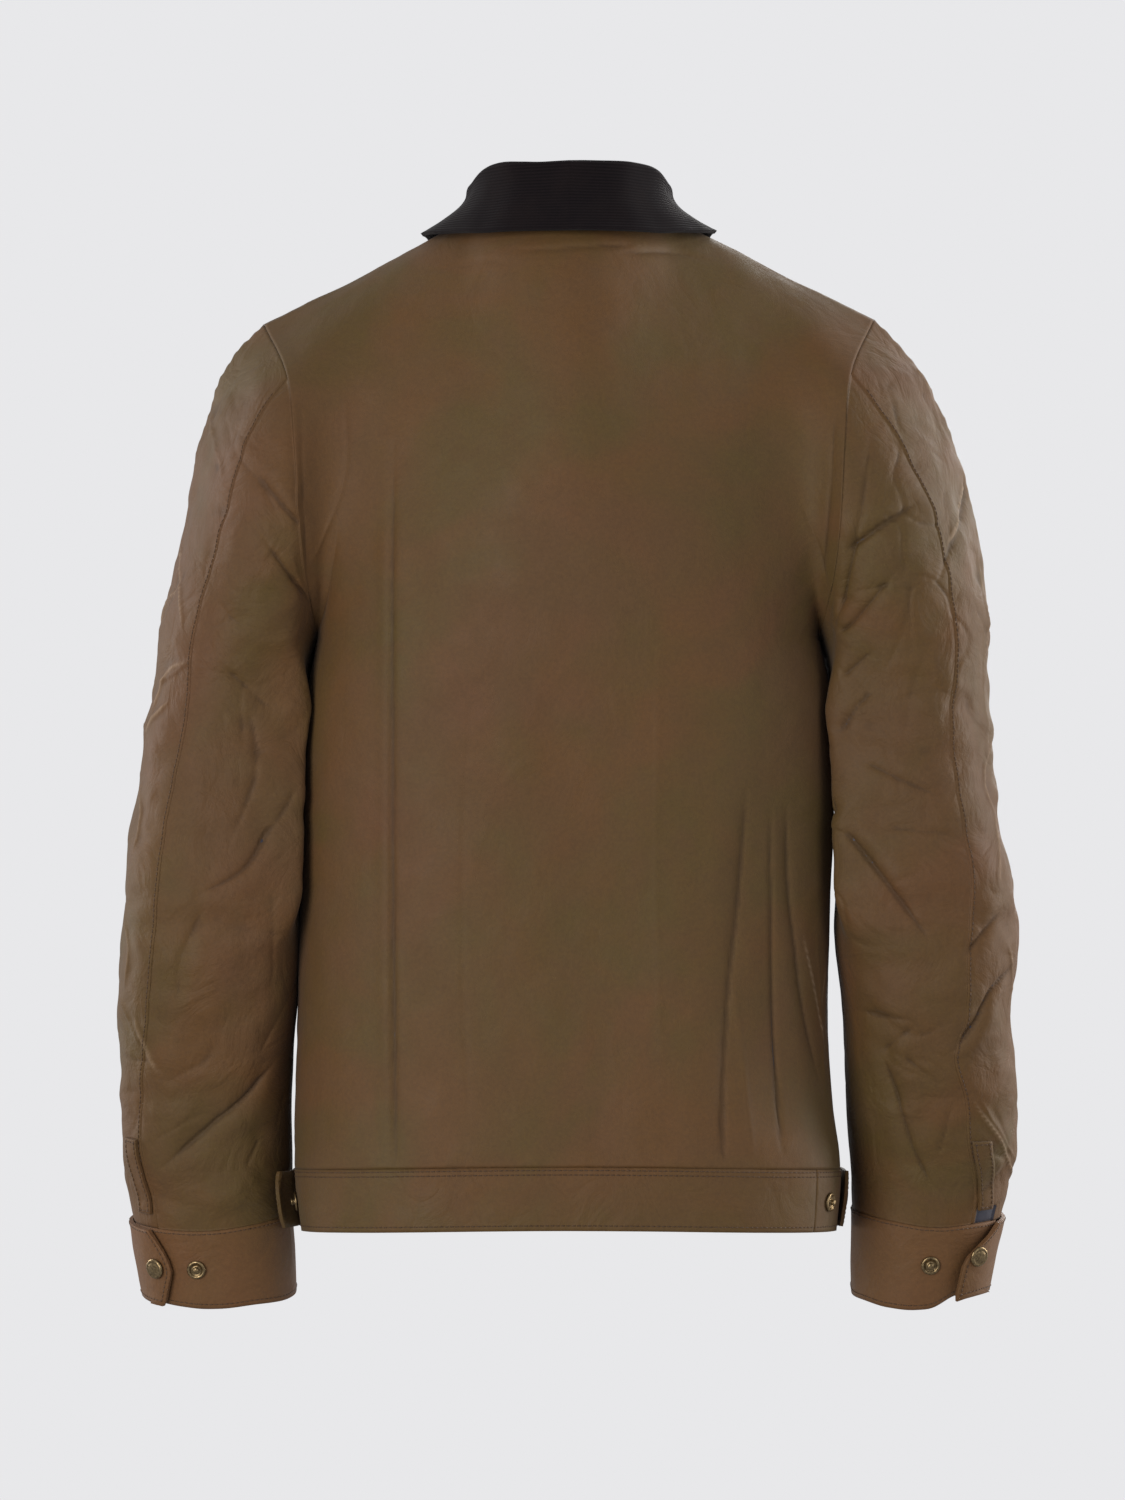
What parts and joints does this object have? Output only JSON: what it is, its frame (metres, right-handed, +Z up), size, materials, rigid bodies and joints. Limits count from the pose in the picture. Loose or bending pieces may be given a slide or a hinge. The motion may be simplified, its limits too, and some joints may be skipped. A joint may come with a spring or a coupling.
{
  "type": "waxed cotton jacket",
  "caption": "Short waxed cotton work jacket, worn form: corduroy collar, long sleeves with snap cuffs, and a waistband with side adjuster tabs.",
  "frame": {"origin": "middle of the neck, level with the shoulders that carry the jacket", "axes": "+Z up, +X to the wearer's left, the front faces -Y"},
  "size_m": [0.616, 0.2487, 0.7778],
  "materials": {
    "waxed_cotton": "matt waxed weave",
    "corduroy": "fine corduroy",
    "snaps": "antique"
  },
  "bodies": {
    "root": {"back": "waxed_cotton", "front_left": "waxed_cotton", "front_right": "waxed_cotton", "front_placket": "waxed_cotton", "waistband_back": "waxed_cotton", "waistband_left": "waxed_cotton", "waistband_right": "waxed_cotton", "collar": "corduroy", "sleeve_left_top": "waxed_cotton", "sleeve_left_under": "waxed_cotton", "vent_left": "waxed_cotton", "cuff_left": "waxed_cotton", "cuff_cap_left": "snaps", "cuff_stud_left": "snaps", "sleeve_right_top": "waxed_cotton", "sleeve_right_under": "waxed_cotton", "vent_right": "waxed_cotton", "cuff_right": "waxed_cotton", "cuff_cap_right": "snaps", "cuff_stud_right": "snaps", "waist_tab_left": "waxed_cotton", "waist_cap_left": "snaps", "waist_stud_left": "snaps", "waist_tab_right": "waxed_cotton", "waist_cap_right": "snaps", "waist_stud_right": "snaps", "front_cap_1": "snaps", "front_cap_2": "snaps", "front_cap_3": "snaps", "front_cap_4": "snaps", "front_cap_5": "snaps", "front_cap_6": "snaps"}
  },
  "joints": []
}
